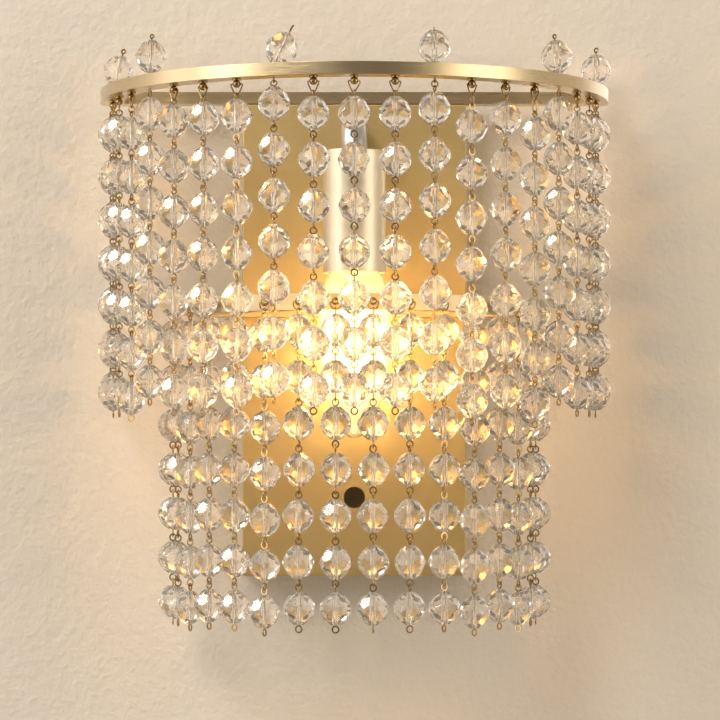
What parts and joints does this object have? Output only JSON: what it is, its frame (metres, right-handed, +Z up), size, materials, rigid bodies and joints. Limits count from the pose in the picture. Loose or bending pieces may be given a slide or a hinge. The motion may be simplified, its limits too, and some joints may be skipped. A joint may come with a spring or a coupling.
{
  "type": "crystal wall sconce",
  "caption": "Wall sconce with a brushed-gold box canopy, two half-round tiers hung with clear faceted bead strands, and one downward candle bulb in a champagne cup.",
  "frame": {"origin": "midway between the two wall screws, on the wall plane at the middle of the canopy", "axes": "+Z up, +X right, the room toward -Y and the wall at y = 0"},
  "size_m": [0.264, 0.152, 0.2962],
  "materials": {
    "brushed_gold": "brushed, lightly satin",
    "satin_champagne": "satin",
    "nickel": "polished",
    "zinc_steel": "zinc plated",
    "brass_wire": "polished wire",
    "crystal": "clear cut glass",
    "bulb_glass": "clear",
    "filament": "phosphor coat",
    "moulded_plastic": "moulded"
  },
  "bodies": {
    "root": {"canopy": "brushed_gold", "wall_bracket": "zinc_steel", "side_screws": "zinc_steel", "ring_screws": "zinc_steel", "earth_screw": "brass_wire", "terminal_block": "moulded_plastic", "upper_ring": "brushed_gold", "lower_ring": "brushed_gold", "upper_studs": "brass_wire", "lower_studs": "brass_wire", "finial_pins": "brass_wire", "finial_beads": "crystal", "socket_arm": "nickel", "arm_nut": "zinc_steel", "socket_cup": "satin_champagne", "lampholder": "moulded_plastic", "centre_contact": "brass_wire"},
    "bulb": {"bulb_base": "nickel", "bulb_glass": "bulb_glass", "bulb_stem": "bulb_glass", "bulb_filaments": "filament"},
    "upper_strand_01": {"upper_strand_01": "crystal"},
    "upper_strand_02": {"upper_strand_02": "crystal"},
    "upper_strand_03": {"upper_strand_03": "crystal"},
    "upper_strand_04": {"upper_strand_04": "crystal"},
    "upper_strand_05": {"upper_strand_05": "crystal"},
    "upper_strand_06": {"upper_strand_06": "crystal"},
    "upper_strand_07": {"upper_strand_07": "crystal"},
    "upper_strand_08": {"upper_strand_08": "crystal"},
    "upper_strand_09": {"upper_strand_09": "crystal"},
    "upper_strand_10": {"upper_strand_10": "crystal"},
    "upper_strand_11": {"upper_strand_11": "crystal"},
    "upper_strand_12": {"upper_strand_12": "crystal"},
    "upper_strand_13": {"upper_strand_13": "crystal"},
    "upper_strand_14": {"upper_strand_14": "crystal"},
    "upper_strand_15": {"upper_strand_15": "crystal"},
    "upper_strand_16": {"upper_strand_16": "crystal"},
    "upper_strand_17": {"upper_strand_17": "crystal"},
    "upper_strand_18": {"upper_strand_18": "crystal"},
    "upper_strand_19": {"upper_strand_19": "crystal"},
    "upper_strand_20": {"upper_strand_20": "crystal"},
    "upper_strand_21": {"upper_strand_21": "crystal"},
    "lower_strand_01": {"lower_strand_01": "crystal"},
    "lower_strand_02": {"lower_strand_02": "crystal"},
    "lower_strand_03": {"lower_strand_03": "crystal"},
    "lower_strand_04": {"lower_strand_04": "crystal"},
    "lower_strand_05": {"lower_strand_05": "crystal"},
    "lower_strand_06": {"lower_strand_06": "crystal"},
    "lower_strand_07": {"lower_strand_07": "crystal"},
    "lower_strand_08": {"lower_strand_08": "crystal"},
    "lower_strand_09": {"lower_strand_09": "crystal"},
    "lower_strand_10": {"lower_strand_10": "crystal"},
    "lower_strand_11": {"lower_strand_11": "crystal"},
    "lower_strand_12": {"lower_strand_12": "crystal"},
    "lower_strand_13": {"lower_strand_13": "crystal"},
    "lower_strand_14": {"lower_strand_14": "crystal"},
    "lower_strand_15": {"lower_strand_15": "crystal"},
    "lower_strand_16": {"lower_strand_16": "crystal"}
  },
  "joints": [
    {"name": "bulb_turn", "type": "hinge", "parent": "root", "child": "bulb", "pos_m": [0, -0.075, 0.0398], "axis": [0, 0, 1], "continuous": true},
    {"name": "upper_strand_01_swing", "type": "hinge", "parent": "root", "child": "upper_strand_01", "pos_m": [-0.123, -0.02, 0.1182], "axis": [0, 1, 0], "range_deg": [-2, 12]},
    {"name": "upper_strand_02_swing", "type": "hinge", "parent": "root", "child": "upper_strand_02", "pos_m": [-0.12149, -0.03924, 0.1175], "axis": [-0.1564, 0.9877, 0], "range_deg": [-2, 12]},
    {"name": "upper_strand_03_swing", "type": "hinge", "parent": "root", "child": "upper_strand_03", "pos_m": [-0.11698, -0.05801, 0.1175], "axis": [-0.309, 0.9511, 0], "range_deg": [-2, 12]},
    {"name": "upper_strand_04_swing", "type": "hinge", "parent": "root", "child": "upper_strand_04", "pos_m": [-0.10959, -0.07584, 0.1175], "axis": [-0.454, 0.891, 0], "range_deg": [-2, 12]},
    {"name": "upper_strand_05_swing", "type": "hinge", "parent": "root", "child": "upper_strand_05", "pos_m": [-0.09951, -0.0923, 0.1182], "axis": [-0.5878, 0.809, 0], "range_deg": [-2, 12]},
    {"name": "upper_strand_06_swing", "type": "hinge", "parent": "root", "child": "upper_strand_06", "pos_m": [-0.08697, -0.10697, 0.1175], "axis": [-0.7071, 0.7071, 0], "range_deg": [-2, 12]},
    {"name": "upper_strand_07_swing", "type": "hinge", "parent": "root", "child": "upper_strand_07", "pos_m": [-0.0723, -0.11951, 0.1175], "axis": [-0.809, 0.5878, 0], "range_deg": [-2, 12]},
    {"name": "upper_strand_08_swing", "type": "hinge", "parent": "root", "child": "upper_strand_08", "pos_m": [-0.05584, -0.12959, 0.1175], "axis": [-0.891, 0.454, 0], "range_deg": [-2, 12]},
    {"name": "upper_strand_09_swing", "type": "hinge", "parent": "root", "child": "upper_strand_09", "pos_m": [-0.03801, -0.13698, 0.1182], "axis": [-0.9511, 0.309, 0], "range_deg": [-2, 12]},
    {"name": "upper_strand_10_swing", "type": "hinge", "parent": "root", "child": "upper_strand_10", "pos_m": [-0.01924, -0.14149, 0.1175], "axis": [-0.9877, 0.1564, 0], "range_deg": [-2, 12]},
    {"name": "upper_strand_11_swing", "type": "hinge", "parent": "root", "child": "upper_strand_11", "pos_m": [0, -0.143, 0.1175], "axis": [-1, 0, 0], "range_deg": [-2, 12]},
    {"name": "upper_strand_12_swing", "type": "hinge", "parent": "root", "child": "upper_strand_12", "pos_m": [0.01924, -0.14149, 0.1175], "axis": [-0.9877, -0.1564, 0], "range_deg": [-2, 12]},
    {"name": "upper_strand_13_swing", "type": "hinge", "parent": "root", "child": "upper_strand_13", "pos_m": [0.03801, -0.13698, 0.1182], "axis": [-0.9511, -0.309, 0], "range_deg": [-2, 12]},
    {"name": "upper_strand_14_swing", "type": "hinge", "parent": "root", "child": "upper_strand_14", "pos_m": [0.05584, -0.12959, 0.1175], "axis": [-0.891, -0.454, 0], "range_deg": [-2, 12]},
    {"name": "upper_strand_15_swing", "type": "hinge", "parent": "root", "child": "upper_strand_15", "pos_m": [0.0723, -0.11951, 0.1175], "axis": [-0.809, -0.5878, 0], "range_deg": [-2, 12]},
    {"name": "upper_strand_16_swing", "type": "hinge", "parent": "root", "child": "upper_strand_16", "pos_m": [0.08697, -0.10697, 0.1175], "axis": [-0.7071, -0.7071, 0], "range_deg": [-2, 12]},
    {"name": "upper_strand_17_swing", "type": "hinge", "parent": "root", "child": "upper_strand_17", "pos_m": [0.09951, -0.0923, 0.1182], "axis": [-0.5878, -0.809, 0], "range_deg": [-2, 12]},
    {"name": "upper_strand_18_swing", "type": "hinge", "parent": "root", "child": "upper_strand_18", "pos_m": [0.10959, -0.07584, 0.1175], "axis": [-0.454, -0.891, 0], "range_deg": [-2, 12]},
    {"name": "upper_strand_19_swing", "type": "hinge", "parent": "root", "child": "upper_strand_19", "pos_m": [0.11698, -0.05801, 0.1175], "axis": [-0.309, -0.9511, 0], "range_deg": [-2, 12]},
    {"name": "upper_strand_20_swing", "type": "hinge", "parent": "root", "child": "upper_strand_20", "pos_m": [0.12149, -0.03924, 0.1175], "axis": [-0.1564, -0.9877, 0], "range_deg": [-2, 12]},
    {"name": "upper_strand_21_swing", "type": "hinge", "parent": "root", "child": "upper_strand_21", "pos_m": [0.123, -0.02, 0.1182], "axis": [0, -1, 0], "range_deg": [-2, 12]},
    {"name": "lower_strand_01_swing", "type": "hinge", "parent": "root", "child": "lower_strand_01", "pos_m": [-0.09151, -0.03646, 0.015], "axis": [-0.1028, 0.9947, 0], "range_deg": [-2, 10]},
    {"name": "lower_strand_02_swing", "type": "hinge", "parent": "root", "child": "lower_strand_02", "pos_m": [-0.08793, -0.05407, 0.015], "axis": [-0.2943, 0.9557, 0], "range_deg": [-2, 10]},
    {"name": "lower_strand_03_swing", "type": "hinge", "parent": "root", "child": "lower_strand_03", "pos_m": [-0.08098, -0.07065, 0.015], "axis": [-0.4745, 0.8803, 0], "range_deg": [-2, 10]},
    {"name": "lower_strand_04_swing", "type": "hinge", "parent": "root", "child": "lower_strand_04", "pos_m": [-0.07095, -0.08557, 0.015], "axis": [-0.6366, 0.7712, 0], "range_deg": [-2, 10]},
    {"name": "lower_strand_05_swing", "type": "hinge", "parent": "root", "child": "lower_strand_05", "pos_m": [-0.0582, -0.09825, 0.015], "axis": [-0.7744, 0.6327, 0], "range_deg": [-2, 10]},
    {"name": "lower_strand_06_swing", "type": "hinge", "parent": "root", "child": "lower_strand_06", "pos_m": [-0.04324, -0.10821, 0.015], "axis": [-0.8827, 0.47, 0], "range_deg": [-2, 10]},
    {"name": "lower_strand_07_swing", "type": "hinge", "parent": "root", "child": "lower_strand_07", "pos_m": [-0.02662, -0.11506, 0.015], "axis": [-0.9572, 0.2894, 0], "range_deg": [-2, 10]},
    {"name": "lower_strand_08_swing", "type": "hinge", "parent": "root", "child": "lower_strand_08", "pos_m": [-0.00899, -0.11856, 0.015], "axis": [-0.9952, 0.0977, 0], "range_deg": [-2, 10]},
    {"name": "lower_strand_09_swing", "type": "hinge", "parent": "root", "child": "lower_strand_09", "pos_m": [0.00899, -0.11856, 0.015], "axis": [-0.9952, -0.0977, 0], "range_deg": [-2, 10]},
    {"name": "lower_strand_10_swing", "type": "hinge", "parent": "root", "child": "lower_strand_10", "pos_m": [0.02662, -0.11506, 0.015], "axis": [-0.9572, -0.2894, 0], "range_deg": [-2, 10]},
    {"name": "lower_strand_11_swing", "type": "hinge", "parent": "root", "child": "lower_strand_11", "pos_m": [0.04324, -0.10821, 0.015], "axis": [-0.8827, -0.47, 0], "range_deg": [-2, 10]},
    {"name": "lower_strand_12_swing", "type": "hinge", "parent": "root", "child": "lower_strand_12", "pos_m": [0.0582, -0.09825, 0.015], "axis": [-0.7744, -0.6327, 0], "range_deg": [-2, 10]},
    {"name": "lower_strand_13_swing", "type": "hinge", "parent": "root", "child": "lower_strand_13", "pos_m": [0.07095, -0.08557, 0.015], "axis": [-0.6366, -0.7712, 0], "range_deg": [-2, 10]},
    {"name": "lower_strand_14_swing", "type": "hinge", "parent": "root", "child": "lower_strand_14", "pos_m": [0.08098, -0.07065, 0.015], "axis": [-0.4745, -0.8803, 0], "range_deg": [-2, 10]},
    {"name": "lower_strand_15_swing", "type": "hinge", "parent": "root", "child": "lower_strand_15", "pos_m": [0.08793, -0.05407, 0.015], "axis": [-0.2943, -0.9557, 0], "range_deg": [-2, 10]},
    {"name": "lower_strand_16_swing", "type": "hinge", "parent": "root", "child": "lower_strand_16", "pos_m": [0.09151, -0.03646, 0.015], "axis": [-0.1028, -0.9947, 0], "range_deg": [-2, 10]}
  ]
}
